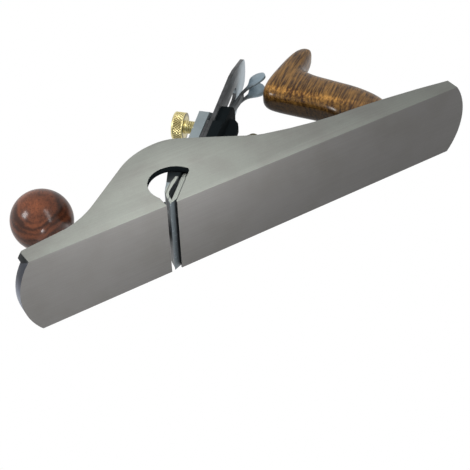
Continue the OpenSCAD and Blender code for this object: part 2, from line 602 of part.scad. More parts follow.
module tote_nut() color(brass) translate([tote_rod_x, 0, ledge_z]) rotate([0, -tote_lean, 0])
    translate([0, 0, tote_nut_h]) difference() {
        rotate_extrude() polygon([[0, 0], [6.2, 0], [6.2, 4.4], [5.4, 5.6], [0, 6.4]]);
        translate([0, 0, -1]) cylinder(d = rod_d + 2 * fit, h = 4.4);
        translate([0, 0, 6.4]) driver_slot(16, 1.4, 2);
    }
module tote_toe_screw() color(brass) translate([tote_toe_x, 0, 0]) difference() {
    union() {
        translate([0, 0, 2]) cylinder(d = 5, h = ledge_z + 11);
        translate([0, 0, ledge_z + 12]) cylinder(d = 9.6, h = 3.4);
    }
    translate([0, 0, ledge_z + 15.4]) driver_slot(12, 1.2, 1.6);
}

body();
frog();
frog_screws();
frog_washers();
frog_adjusting_screw();
frog_clip();
frog_clip_screw();
depth_stud();
depth_wheel();
depth_lever();
depth_lever_pin();
lateral_lever();
lateral_pin();
lateral_roller();
roller_rivet();
cutter_iron();
cap_iron();
cap_iron_screw();
lever_cap();
lever_cap_screw();
thumb_screw();
front_knob();
knob_rod();
knob_nut();
rear_tote();
tote_rod();
tote_nut();
tote_toe_screw();
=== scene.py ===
"""Looks of a bench rabbet plane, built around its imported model.

Most metal pieces are copies of the model's own solids with eased edges. The thumb screw, the
depth wheel, the knob and the tote are surfaces worked out with numpy. Every finish is made of
shader nodes. Lengths are in metres. The bed is the slope that carries the iron.
"""

import json
import math

import bmesh
import bpy
import numpy as np
from bpy.props import FloatProperty, FloatVectorProperty, PointerProperty
from bpy.types import Operator, Panel, PropertyGroup
from mathutils import Matrix, Vector


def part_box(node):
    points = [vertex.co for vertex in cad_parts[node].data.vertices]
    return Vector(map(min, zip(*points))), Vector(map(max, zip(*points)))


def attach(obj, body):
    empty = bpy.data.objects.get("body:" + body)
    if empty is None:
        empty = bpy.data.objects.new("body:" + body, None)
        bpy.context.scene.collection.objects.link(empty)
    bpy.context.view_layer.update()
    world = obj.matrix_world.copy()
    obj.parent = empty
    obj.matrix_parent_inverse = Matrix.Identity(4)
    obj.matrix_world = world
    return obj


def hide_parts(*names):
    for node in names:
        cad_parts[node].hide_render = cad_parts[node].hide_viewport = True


bl_info = {
    "name": "Rabbet plane looks",
    "version": (1, 0, 0),
    "blender": (4, 5, 0),
    "location": "View3D > Sidebar > Rabbet plane",
    "description": "Dresses the packed model of a bench rabbet plane",
    "category": "Object",
}

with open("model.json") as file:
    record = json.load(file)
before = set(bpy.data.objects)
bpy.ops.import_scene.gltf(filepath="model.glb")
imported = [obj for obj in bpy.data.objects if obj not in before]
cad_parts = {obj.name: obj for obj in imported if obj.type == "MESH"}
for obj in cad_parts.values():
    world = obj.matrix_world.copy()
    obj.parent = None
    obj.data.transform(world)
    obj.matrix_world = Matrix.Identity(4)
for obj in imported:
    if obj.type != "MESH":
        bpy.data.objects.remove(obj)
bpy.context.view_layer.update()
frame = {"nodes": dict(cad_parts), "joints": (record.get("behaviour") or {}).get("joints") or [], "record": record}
MM = 0.001

# The bed's directions, where it meets the sole along X, and the way up the bed from there to X = 0
BED_ANGLE = math.radians(45)
UP_BED = np.array([math.cos(BED_ANGLE), 0.0, math.sin(BED_ANGLE)])
ACROSS_BED = np.array([0.0, 1.0, 0.0])
OUT_OF_BED = np.array([-math.sin(BED_ANGLE), 0.0, math.cos(BED_ANGLE)])
TILT_PIVOT = next(joint["pos_m"] for joint in frame["joints"] if joint["name"] == "cutter_tilt")
BED_START = TILT_PIVOT[0] - TILT_PIVOT[2]
BED_FOOT = -BED_START * math.cos(BED_ANGLE)

# What counts as one point, as one plane and as a sharp edge when a solid's edges are eased
SAME_POINT = 0.002 * MM
SAME_PLANE = math.radians(0.6)
SHARP_EDGE = math.radians(28)
EASING_STEPS = 2

# Order of the casting's materials
CHEEK, PAINT, END, SOLE = range(4)

# Points this close to the radius of a rim or shank lie on it, and points round each groove
ON_RADIUS = 0.0001 * MM
POINTS_PER_GROOVE = 8

# Middle of the plane as the photograph shows it, which two of the lamps aim at
SUBJECT = (-0.126, 0, 0.059)

# Lamps: name, place, aim, direction of the second side, both sides, power, mirrored in metal
LAMPS = (
    ("Key", (-0.070, -0.15, -0.036), (-0.070, -0.027, 0.03), (1, 0, 0), (0.06, 0.06), 0.41, False),
    ("Toe", (-0.160, 0.02, -0.16), (-0.130, 0.01, 0), (1, 0, 0), (0.08, 0.08), 0.22, False),
    ("Strip", (0.10, -0.63, -0.55), SUBJECT, (0.12, 0.73, -0.75), (0.16, 0.95), 4.3, True),
    ("Box", (-0.83, -0.54, 0.24), SUBJECT, (0, 0, 1), (0.28, 0.28), 6.0, True),
    ("Top", (0.15, 0.25, 0.9), (0, 0, 0.05), (1, 0, 0), (0.5, 0.5), 4.0, False),
)


def size(name, mm, words):
    """A length property, given in millimetres and kept in metres."""
    return FloatProperty(name=name, description=words, default=mm * MM, unit="LENGTH", precision=5)


def colour(name, rgb, words):
    """A linear colour property."""
    return FloatVectorProperty(name=name, description=words, default=rgb, size=3, subtype="COLOR",
                               min=0.0, max=1.0)


class PlaneMetal(PropertyGroup):
    """Colours and edges of the metal pieces."""

    cheek: colour("Cheeks", (0.195, 0.208, 0.187), "Ground faces of the cheeks")
    sole: colour("Sole", (0.174, 0.170, 0.166), "Ground face of the sole")
    patina: colour("Patina", (0.150, 0.146, 0.136), "Stains on the ground faces")
    paint: colour("Black japan", (0.0045, 0.0062, 0.0070), "Black finish inside the castings")
    # Bare iron of the two ends at its darkest, which is painted shade; end_iron lightens it toward the far side as
    # painted light
    toe: colour("Toe face", (0.050, 0.055, 0.068), "Dark bare iron of the two ends")
    steel: colour("Steel", (0.20, 0.235, 0.25), "Small steel pieces")
    # Lighter tone of the lateral lever's ears
    ear_tone: colour("Lever ears", (0.24, 0.315, 0.365), "Lateral lever where fingers rub it")
    blade: colour("Iron", (0.44, 0.52, 0.57), "Polished top of the iron")
    # Painted shade on the irons' faces and on the lateral lever's stem
    painted_shade: colour("Iron in painted shade", (0.045, 0.050, 0.053), "Darkened part of the iron")
    # Dark tone of the irons' sides higher up, which is painted shade
    edge: colour("Iron edge", (0.020, 0.021, 0.022), "Unpolished sides of the irons, higher up")
    lever: colour("Lever cap", (0.215, 0.255, 0.270), "Satin steel of the lever cap")
    brass: colour("Brass", (0.66, 0.58, 0.29), "Brass pieces")
    tarnish: colour("Tarnish", (0.16, 0.12, 0.045), "Darker tone of the brass")
    casting_edge: size("Casting edge", 0.45, "Rounding of the castings' edges")
    steel_edge: size("Steel edge", 0.22, "Rounding of the steel pieces' edges")


class PlaneKnurl(PropertyGroup):
    """Knurling of the brass rims, and the thumb screw."""

    pitch: size("Pitch", 1.9, "Distance between the grooves round the rim")
    depth: size("Depth", 0.62, "Depth of the grooves")
    thread: size("Thread", 1.5, "Pitch of the thumb screw's thread")
    thread_depth: size("Thread depth", 0.5, "Depth of the thumb screw's thread")
    head_diameter: size("Thumb screw", 20.0, "Diameter of the thumb screw's head")
    head_height: size("Head height", 8.2, "Thickness of the thumb screw's head")
    head_out: size("Head position", 24.6, "Distance of the head from the bed")
    head_up: size("Head up the bed", 110.0, "Distance of the screw up the bed")
    shank_diameter: size("Shank", 9.4, "Diameter of the thumb screw's shank")


class PlaneWood(PropertyGroup):
    """Shapes and colours of the two handles."""

    knob_ball: size("Knob", 39.4, "Diameter of the knob's ball")
    knob_height: size("Knob height", 59.2, "Height of the ball's centre above the sole")
    knob_foot: size("Knob foot", 9.0, "Height of the knob's foot above the sole")
    tote_width: size("Tote width", 23.0, "Thickness of the tote")
    tote_foot: size("Tote foot", 8.0, "Height of the tote's foot above the sole")
    knob_dark: colour("Knob dark", (0.040, 0.016, 0.010), "Dark lines of the knob's wood")
    knob_light: colour("Knob light", (0.165, 0.054, 0.026), "Light lines of the knob's wood")
    tote_dark: colour("Tote dark", (0.030, 0.012, 0.004), "Dark bands of the tote's wood")
    tote_light: colour("Tote light", (0.270, 0.137, 0.034), "Light bands of the tote's wood")


class PlaneStage(PropertyGroup):
    """Camera, and the light and floor around the plane."""

    camera_place: FloatVectorProperty(
        name="Camera place", description="Where the camera stands",
        default=(-0.25898, -0.39403, -0.39003), subtype="TRANSLATION")
    camera_right: FloatVectorProperty(
        name="Camera right", description="Direction to the picture's right",
        default=(0.84645, 0.01775, -0.53218), subtype="DIRECTION")
    camera_down: FloatVectorProperty(
        name="Camera down", description="Direction to the picture's foot",
        default=(-0.36849, 0.74100, -0.56137), subtype="DIRECTION")
    lens: FloatProperty(name="Lens", description="Focal length on a 36 mm frame", default=74.10,
                        subtype="DISTANCE_CAMERA")
    ambient: FloatProperty(name="Ambient", description="Strength of the even light", default=0.13)
    floor: colour("Floor", (0.86, 0.86, 0.86), "Pale floor")


class Socket:
    """A node socket that can be written in sums: each operator adds one Math node."""

    def __init__(self, finish, link):
        self.finish, self.link = finish, link

    def _math(self, operation, *values):
        return self.finish.node("ShaderNodeMath", {"operation": operation}, dict(enumerate(values)))

    def __add__(self, other):
        return self._math("ADD", self, other)

    def __sub__(self, other):
        return self._math("SUBTRACT", self, other)

    def __rsub__(self, other):
        return self._math("SUBTRACT", other, self)

    def __mul__(self, other):
        return self._math("MULTIPLY", self, other)

    __radd__, __rmul__ = __add__, __mul__

    def sin(self):
        return self._math("SINE", self)

    def abs(self):
        return self._math("ABSOLUTE", self)

    def power(self, exponent):
        return self._math("POWER", self, exponent)

    def swayed(self, noise, amount):
        """This value pushed up and down by noise, so that a step on it has an uneven border."""
        return self + (noise - 0.5) * amount

    def step(self, low, high, start=0.0, end=1.0):
        """Smooth rise from start at low to end at high."""
        return self.finish.node("ShaderNodeMapRange", {"interpolation_type": "SMOOTHSTEP"},
                                {0: self, 1: low, 2: high, 3: start, 4: end})


class Finish:
    """A material under construction: node() adds any node, and the others are its common uses."""

    def __init__(self, name, **constants):
        self.material = bpy.data.materials.new(name)
        self.material.use_nodes = True
        self.tree = self.material.node_tree
        self.shader = self.tree.nodes["Principled BSDF"]
        for key, value in constants.items():
            self.shader.inputs[key.replace("_", " ")].default_value = value

    def node(self, kind, settings=None, inputs=None, output=0):
        """Adds a node, sets its settings and then its sockets, and returns one of its outputs."""
        made = self.tree.nodes.new(kind)
        for key, value in (settings or {}).items():
            setattr(made, key, value)
        for key, value in (inputs or {}).items():
            if isinstance(value, Socket):
                self.tree.links.new(value.link, made.inputs[key])
            else:
                made.inputs[key].default_value = value
        return Socket(self, made.outputs[output])

    def feed(self, name, value):
        """Links a socket into the principled shader."""
        self.tree.links.new(value.link, self.shader.inputs[name])

    def place(self, *turns):
        """Object coordinates in metres, turned step by step."""
        here = self.node("ShaderNodeTexCoord", output="Object")
        for turn in turns:
            here = self.node("ShaderNodeMapping", None, {"Vector": here, "Rotation": turn})
        return here

    def bed_place(self):
        """Object coordinates turned to the bed, and the numbers up, across and out of it.

        Up starts at the bed's foot, across and out at the origin of the model.
        """
        here = self.place((0, BED_ANGLE, 0))
        up, across, out = self.parts(here)
        return here, up + BED_FOOT, across, out

    def stretch(self, where, scale, move=(0, 0, 0)):
        """Coordinates multiplied along each axis, then moved."""
        return self.node("ShaderNodeMapping", None, {
            "Vector": where, "Scale": scale, "Location": move})

    def parts(self, where):
        """The three numbers of a vector."""
        split = self.node("ShaderNodeSeparateXYZ", None, {"Vector": where})
        return [Socket(self, number) for number in split.link.node.outputs]

    def noise(self, where, scale=1.0, detail=3.0, rough=0.55, stretch=None):
        """Cloudy numbers about 0.5, drawn out along the axes where the stretch is small."""
        if stretch:
            where = self.stretch(where, stretch)
        return self.node("ShaderNodeTexNoise", None, {
            "Vector": where, "Scale": scale, "Detail": detail, "Roughness": rough})

    def mix(self, factor, a, b):
        """Colour mix of a and b."""
        return self.node("ShaderNodeMix", {"data_type": "RGBA"}, {0: factor, 6: a, 7: b}, output=2)

    def scaled(self, tone, factor):
        """A colour made lighter or darker by a factor that varies."""
        return self.node("ShaderNodeVectorMath", {"operation": "SCALE"}, {0: tone, "Scale": factor})

    def bump(self, height, strength, distance):
        """Fine relief."""
        self.feed("Normal", self.node("ShaderNodeBump", None, {
            "Height": height, "Strength": strength, "Distance": distance}))

    def brushed(self, lines, clouds, smoothest):
        """Uneven gloss and fine relief of metal that was worked along one direction."""
        self.feed("Roughness", lines * 0.14 + clouds * 0.12 + smoothest)
        self.bump(lines, strength=0.08, distance=0.1 * MM)


def rgba(rgb, gain=1.0):
    """A colour with its alpha, made lighter or darker by a factor."""
    return (*[min(1.0, c * gain) for c in rgb[:3]], 1.0)


def ground_iron(name, base, stain):
    """Ground cast iron: fine grinding lines along X, with faint stains and specks."""
    f = Finish(name, Metallic=0.3, Roughness=0.5, Specular_IOR_Level=0.25)
    here = f.place()
    lines = f.noise(here, stretch=(8.0, 1300.0, 1300.0))
    clouds = f.noise(here, scale=30.0, detail=6.0, rough=0.6)
    specks = f.noise(here, scale=1500.0, rough=0.7)
    tone = f.mix(clouds.step(0.40, 0.72) * 0.6, rgba(base), rgba(stain))
    grit = (lines - 0.5) * 0.45 + (specks - 0.5) * 0.5 + 0.2
    f.feed("Base Color", f.mix(grit, tone, rgba(stain, 0.7)))
    f.feed("Roughness", lines * 0.12 + clouds * 0.12 + 0.46)
    f.bump(lines * 0.6 + specks * 0.4, strength=0.07, distance=0.2 * MM)
    return f.material


def black_japan(name, base):
    """Thick black stoving enamel over a rough casting, a little dusty."""
    f = Finish(name, Roughness=0.7, Specular_IOR_Level=0.015)
    here = f.place()
    swell = f.noise(here, scale=420.0, detail=4.0, rough=0.6)
    dust = f.noise(here, scale=60.0, detail=5.0, rough=0.65)
    f.feed("Base Color", f.mix(dust.step(0.45, 0.8) * 0.5, rgba(base), rgba(base, 1.7)))
    f.feed("Roughness", dust * 0.25 + 0.6)
    f.bump(swell, strength=0.35, distance=0.4 * MM)
    return f.material


def end_iron(name, bare, paint):
    """Ends of the casting: enamel on the cheeks' ends, bare iron on the sole's end.

    The bare iron is dark at the near cheek and lighter from the sole's middle on, as painted shade and painted
    light.
    """
    f = Finish(name, Roughness=0.4, Specular_IOR_Level=0.12)
    here = f.place()
    clouds = f.noise(here, scale=160.0, detail=4.0, rough=0.6)
    _, y, z = f.parts(here)
    outward_and_up = (y.abs() + z * 0.6).swayed(clouds, 0.6 * MM)
    # Painted light and shade: the bare iron darkens toward the near cheek and lightens toward the far side
    painted_light = y.step(-17 * MM, -1 * MM, 0.9, 4.5) * (clouds * 0.5 + 0.75)
    enamelled = outward_and_up.step(26.2 * MM, 26.6 * MM)
    f.feed("Base Color", f.mix(enamelled, f.scaled(bare, painted_light), rgba(paint)))
    f.bump(clouds, strength=0.3, distance=0.3 * MM)
    return f.material


def machined_steel(name, base):
    """Machined steel with fine lines along Y and cloudy patches."""
    f = Finish(name, Metallic=0.85, Roughness=0.26)
    here = f.place()
    lines = f.noise(here, stretch=(1500.0, 30.0, 1500.0))
    clouds = f.noise(here, scale=70.0, detail=5.0, rough=0.6)
    f.feed("Base Color", f.mix(clouds.step(0.4, 0.75) * 0.5, rgba(base), rgba(base, 0.66)))
    f.brushed(lines, clouds, smoothest=0.14)
    return f.material


def iron_with_painted_light(name, base, painted_shade):
    """The irons' faces: bright at the top and on the far side as painted reflection, darkened below as painted
    shade, finely scratched.

    A narrow strip along the cutting edge, where it is honed, is left lighter than the painted shade around it.
    """
    f = Finish(name, Metallic=0.6, Roughness=0.4, Specular_IOR_Level=0.2)
    here, up, across, _ = f.bed_place()
    lines = f.noise(here, stretch=(1500.0, 40.0, 40.0))
    scratches = f.noise(here, detail=4.0, stretch=(60.0, 900.0, 900.0)).step(0.60, 0.72)
    clouds = f.noise(here, scale=90.0, detail=5.0, rough=0.65)
    # Painted reflection, lighter toward the top of the bed and the far side, over painted shade below
    bright = ((up - 162 * MM) * 22.0 + across * 26.0 + 0.5).swayed(clouds, 0.9)
    tone = f.mix(bright.step(0.0, 1.0), rgba(painted_shade), rgba(base))
    tone = f.mix(up.step(1.0 * MM, 1.8 * MM, 1.0, 0.0), tone, rgba(base, 0.27))
    f.feed("Base Color", f.mix(scratches * 0.35, tone, rgba(base, 1.3)))
    f.brushed(lines, clouds, smoothest=0.3)
    return f.material


def iron_side(name, ground, edge, spacing):
    """Narrow sides of the irons: ground and finely lined near the cutting edge, darkened higher up by painted
    shade, and lighter toward the top as painted light.
    """
    f = Finish(name, Metallic=0.3, Roughness=0.5, Specular_IOR_Level=0.25)
    here, up, _, out = f.bed_place()
    clouds = f.noise(here, scale=220.0, detail=4.0, rough=0.6)
    lines = ((out + BED_FOOT) * (2 * math.pi / spacing)).sin().step(0.55, 0.95)
    # Painted shade on the sides above the cutting edge, and painted light toward the top
    height = up.swayed(clouds, 10 * MM)
    low = f.mix(lines * 0.65, rgba(ground), rgba(edge, 2.0))
    middle = f.mix(clouds.step(0.35, 0.7), rgba(edge), rgba(edge, 2.4))
    high = f.mix(height.step(150 * MM, 185 * MM), middle, rgba(edge, 5.5))
    f.feed("Base Color", f.mix(height.step(52 * MM, 66 * MM), low, high))
    f.bump(clouds, strength=0.1, distance=0.2 * MM)
    return f.material


def lever_stem(name, base, painted_shade):
    """The lateral lever: a stem darkened by painted shade, and lighter ears."""
    f = Finish(name, Metallic=0.6, Roughness=0.4, Specular_IOR_Level=0.3)
    here, up, _, _ = f.bed_place()
    clouds = f.noise(here, scale=260.0, detail=5.0, rough=0.65)
    # The stem below the ears is darkened as painted shade
    lighter_ears = up.swayed(clouds, 12 * MM).step(156 * MM, 167 * MM)
    stem = f.mix(clouds, rgba(painted_shade, 0.8), rgba(painted_shade, 2.2))
    ears = f.mix(clouds.step(0.35, 0.75) * 0.35, rgba(base), rgba(base, 0.75))
    f.feed("Base Color", f.mix(lighter_ears, stem, ears))
    f.feed("Roughness", clouds * 0.2 + 0.28)
    f.bump(clouds, strength=0.12, distance=0.2 * MM)
    return f.material


def lever_steel(name, base, paint):
    """The lever cap: satin steel, with painted shade in black low down between its nose and the throat."""
    f = Finish(name, Metallic=0.7, Roughness=0.45)
    here, up, _, _ = f.bed_place()
    lines = f.noise(here, stretch=(1500.0, 30.0, 30.0))
    clouds = f.noise(here, scale=70.0, detail=5.0, rough=0.6)
    steel = f.mix(clouds.step(0.4, 0.75) * 0.35, rgba(base), rgba(base, 0.7))
    # Painted shade: black between the nose and the throat, where the cheeks shade the cap
    height = up.swayed(clouds, 3 * MM)
    painted = height.step(60 * MM, 64 * MM, 1.0, 0.0) * height.step(22.5 * MM, 23.5 * MM)
    f.feed("Base Color", f.mix(painted, steel, rgba(paint)))
    f.feed("Metallic", (1 - painted) * 0.7)
    f.brushed(lines, clouds, smoothest=0.33)
    return f.material


def aged_brass(name, base, tarnish):
    """Brass with a darker tone in patches and in its grooves, and a fine grit."""
    f = Finish(name, Metallic=0.85, Roughness=0.3)
    here = f.place()
    clouds = f.noise(here, scale=120.0, detail=5.0, rough=0.6)
    grit = f.noise(here, scale=1400.0, detail=2.0, rough=0.5)
    groove = f.node("ShaderNodeAttribute", {"attribute_name": "groove"}, output=2)
    tone = f.mix(clouds.step(0.38, 0.8) * 0.5, rgba(base), rgba(tarnish, 1.6))
    f.feed("Base Color", f.mix(groove.step(0.4, 1.0), tone, rgba(tarnish, 0.6)))
    f.feed("Roughness", clouds * 0.2 + grit * 0.08 + 0.16)
    f.bump(grit, strength=0.06, distance=0.1 * MM)
    return f.material


def polished_wood(name, dark, light, turns, pith, ring, bend, banding, streaking, figure,
                  toward, darkens, left, pale):
    """Varnished hardwood, its grain along X after the turns, with the pith moved from the axis.

    The growth rings take ring radians to a metre and are bent by bend radians. Banding, streaking
    and figure are the strengths of the rings, of the streaks and of the curl. Along the direction
    toward, painted shade darkens the wood between two distances until only a share of light is
    left, and a painted highlight makes it paler just before.
    """
    f = Finish(name, Roughness=0.34, Specular_IOR_Level=0.05, Coat_Weight=0.32, Coat_Roughness=0.17)
    here = f.place(*turns)
    wander = f.noise(here, scale=45.0, rough=0.5, stretch=(0.35, 1.0, 1.0))
    blotch = f.noise(here, scale=70.0, stretch=(0.5, 1.0, 1.0))
    streaks = f.noise(here, scale=800.0, detail=5.0, rough=0.65, stretch=(0.07, 1.0, 1.0))
    pores = f.noise(here, scale=1500.0, detail=2.0, rough=0.5, stretch=(0.05, 1.0, 1.0))
    pores = pores.step(0.55, 0.68)
    curl = f.noise(here, scale=150.0, detail=2.0, rough=0.5, stretch=(1.6, 0.4, 0.4))

    # Two waves of different length make rings of uneven width, faint near the pith
    _, y, z = f.parts(f.stretch(here, (1, 1, 1), pith))
    reach = (y * y + z * z).power(0.5)
    wave = (reach * ring).swayed(wander, bend)
    rings = (wave.sin() * 0.55 + (wave * 0.43).sin() * 0.45) * reach.step(4 * MM, 15 * MM, 0.0, 0.5)
    tone = (rings * banding + 0.5).swayed(streaks, streaking).swayed(blotch, 1.3)
    tone = tone.swayed(curl, figure).step(0.0, 1.0)
    grain = f.mix(pores * 0.7, f.mix(tone, rgba(dark), rgba(light)), rgba(dark, 0.6))

    start, end = darkens
    depth = f.node("ShaderNodeVectorMath", {"operation": "DOT_PRODUCT"}, {0: f.place(), 1: toward},
                   output=1)
    # Painted shade along the direction toward, and a painted highlight just before it
    shadow = depth.swayed(blotch, 6 * MM).step(start, end, 1.0, left)
    before = (depth.swayed(streaks, 2 * MM) - (start - 1.5 * MM)).abs()
    painted_highlight_band = before.step(0.4 * MM, 3.0 * MM, 1.0 + pale, 1.0)
    f.feed("Base Color", f.scaled(grain, shadow * painted_highlight_band))
    f.feed("Roughness", streaks * 0.16 + 0.28)
    f.bump(pores * -1.0 + streaks * 0.2, strength=0.10, distance=0.2 * MM)
    return f.material


def new_piece(name, verts, faces, body, material, groove=None):
    """Makes an object from arrays of points and faces, which rides on a body of the model."""
    mesh = bpy.data.meshes.new(name)
    mesh.from_pydata(np.asarray(verts, float).tolist(), [], faces)
    mesh.update()
    if groove is not None:
        shares = mesh.attributes.new("groove", "FLOAT", "POINT")
        shares.data.foreach_set("value", groove.ravel())
    mesh.materials.append(material)
    piece = bpy.data.objects.new(name, mesh)
    bpy.context.scene.collection.objects.link(piece)
    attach(piece, body)
    return piece


def smooth(piece, degrees):
    """Shades a piece smooth, except across edges sharper than an angle."""
    mesh = piece.data
    mesh.polygons.foreach_set("use_smooth", np.ones(len(mesh.polygons), bool))
    mesh.set_sharp_from_angle(angle=math.radians(degrees))
    mesh.update()


def outward(piece):
    """Makes a closed mesh's faces point outwards."""
    bm = bmesh.new()
    bm.from_mesh(piece.data)
    bmesh.ops.recalc_face_normals(bm, faces=bm.faces)
    bm.to_mesh(piece.data)
    bm.free()


def apply_modifiers(piece):
    """Replaces a piece's mesh by what its modifiers make of it."""
    graph = bpy.context.evaluated_depsgraph_get()
    made = bpy.data.meshes.new_from_object(piece.evaluated_get(graph))
    piece.modifiers.clear()
    piece.data = made


def body_of(node):
    """Name of the body that a node of the model rides on."""
    groups = frame["record"]["behaviour"]["bodies"]
    return next(body for body, nodes in groups.items() if node in nodes)


def face_values(mesh, kind):
    """X, Y and Z of every face's centre or normal."""
    values = np.empty(len(mesh.polygons) * 3)
    mesh.polygons.foreach_get(kind, values)
    return values.reshape(-1, 3).T


def eased_copy(node, materials, edge):
    """Copy of a solid with doubles merged, flat faces joined and sharp edges rounded."""
    bm = bmesh.new()
    bm.from_mesh(frame["nodes"][node].data)
    bmesh.ops.remove_doubles(bm, verts=bm.verts, dist=SAME_POINT)
    bmesh.ops.dissolve_limit(bm, angle_limit=SAME_PLANE, verts=bm.verts, edges=bm.edges)
    mesh = bpy.data.meshes.new(node + "_solid")
    bm.to_mesh(mesh)
    bm.free()
    piece = bpy.data.objects.new(node + "_finish", mesh)
    bpy.context.scene.collection.objects.link(piece)
    bevel = piece.modifiers.new("Eased edges", "BEVEL")
    bevel.width = edge
    bevel.segments = EASING_STEPS
    bevel.limit_method = "ANGLE"
    bevel.angle_limit = SHARP_EDGE
    bevel.use_clamp_overlap = True
    apply_modifiers(piece)
    made = piece.data
    made.name = node + "_finish"
    points = np.empty(len(made.vertices) * 3)
    made.vertices.foreach_get("co", points)
    low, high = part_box(node)
    points = np.clip(points.reshape(-1, 3), np.array(low), np.array(high))
    made.vertices.foreach_set("co", points.ravel())
    made.materials.clear()
    for material in materials:
        made.materials.append(material)
    smooth(piece, 34.0)
    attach(piece, body_of(node))
    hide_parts(node)
    return piece


def ring_faces(points, closed):
    """Faces of a grid whose rows are rings of points; closed joins the last ring to the first."""
    m, n = points.shape[:2]
    i, j = np.meshgrid(np.arange(m if closed else m - 1), np.arange(n), indexing="ij")
    k, l = (i + 1) % m, (j + 1) % n
    return np.stack([i * n + j, i * n + l, k * n + l, k * n + j], -1).reshape(-1, 4).tolist()


def revolve(profile, steps, carve=None):
    """Turns a closed profile of (radius, height) about Z: point (r cos a, r sin a, h) on a grid.

    Carve, where given, works out the radius anew from (r, h, a).
    """
    turn = np.linspace(0, 2 * np.pi, steps, endpoint=False)
    radius, height, angle = np.broadcast_arrays(profile[:, :1], profile[:, 1:], turn)
    if carve is not None:
        radius = carve(radius, height, angle)
    return np.stack([radius * np.cos(angle), radius * np.sin(angle), height], -1)


def turned_piece(name, points, body, material, degrees, groove=None):
    """Piece from a grid of points that closes on itself both ways, with its faces outwards."""
    faces = ring_faces(points, closed=True)
    piece = new_piece(name, points.reshape(-1, 3), faces, body, material, groove)
    outward(piece)
    smooth(piece, degrees)
    return piece


def curve_through(points, steps):
    """Smooth curve: each span is the cubic through two points that leans on their neighbours."""
    p = np.asarray(points, float)
    before, after = p[np.r_[0, :len(p) - 2]], p[np.r_[2:len(p), len(p) - 1]]
    t = np.linspace(0, 1, steps, endpoint=False)[None, :, None]
    a, b, c, d = (v[:, None, :] for v in (before, p[:-1], p[1:], after))
    spans = 0.5 * (2 * b + (c - a) * t + (2 * a - 5 * b + 4 * c - d) * t ** 2
                   + (3 * b - a - 3 * c + d) * t ** 3)
    return np.vstack([spans.reshape(-1, p.shape[1]), p[-1:]])


def profile_from(radius, height, *points):
    """Points of a profile in metres, from their millimetres beyond a given (radius, height)."""
    return np.array([radius, height]) + np.array(points) * MM


def crowned_rim(radius, low, high, lower, upper, rows, corner):
    """Profile of a disc's rim, rounded by quarter circles of the radii a below and b above.

    Below: (R - a + a sin t, low + a (1 - cos t)). Above: (R - b (1 - cos t), high - b + b sin t).
    Between them are rows of points, and each quarter circle has as many steps as corner says.
    """
    t = np.linspace(0, np.pi / 2, corner + 1)[1:]
    return np.vstack([
        np.c_[radius - lower + lower * np.sin(t[:-1]), low + lower * (1 - np.cos(t[:-1]))],
        np.c_[np.full(rows, radius), np.linspace(low + lower, high - upper, rows)],
        np.c_[radius - upper * (1 - np.cos(t)), high - upper + upper * np.sin(t)],
    ])


def triangle_wave(turns):
    """1 at whole turns and 0 halfway between them, in straight lines."""
    return np.abs(2 * (turns - np.floor(turns)) - 1)


def fading(height, low, high, run):
    """1 between two heights, falling to 0 at both over a run."""
    return np.clip((height - low) / run, 0, 1) * np.clip((high - height) / run, 0, 1)


def threaded(radius_out, pitch, depth, low, high):
    """Screw thread: r = R - depth w(z / p - a / 2 pi), with the triangle wave w.

    It fades out at both ends of the thread.
    """
    def carve(radius, height, angle):
        wave = triangle_wave(height / pitch - angle / (2 * np.pi))
        on_shank = (np.abs(radius - radius_out) < ON_RADIUS) & (height > low) & (height < high)
        return np.where(on_shank, radius - depth * wave * fading(height, low, high, pitch), radius)

    return carve


def diamond_knurl(radius_out, pitch, depth, low, high):
    """Rim with two crossing sets of grooves: r = R - depth (1 - the lower of two triangle waves).

    The waves run over n a / 2 pi + z / 1.15 p and n a / 2 pi - z / 1.15 p, for n grooves round the
    rim, so that each diamond is a little longer than it is wide, and fade out at the rim's ends.
    """
    count = round(2 * math.pi * radius_out / pitch)

    def carve(radius, height, angle):
        turns = count * angle / (2 * np.pi)
        climb = height / (pitch * 1.15)
        cut = 1 - np.minimum(triangle_wave(turns + climb), triangle_wave(turns - climb))
        fade = fading(height, low, high, 0.35 * pitch)
        return np.where(radius > radius_out - ON_RADIUS, radius - depth * cut * fade, radius)

    return carve, count


def groove_depth(points, radius_out, depth):
    """Share of the full depth, 0 on the crests and 1 in the grooves, for points near the rim."""
    radius = np.hypot(points[..., 0], points[..., 1])
    near = radius > radius_out - 1.02 * depth
    return np.where(near, np.clip((radius_out - radius) / depth, 0, 1), 0.0)


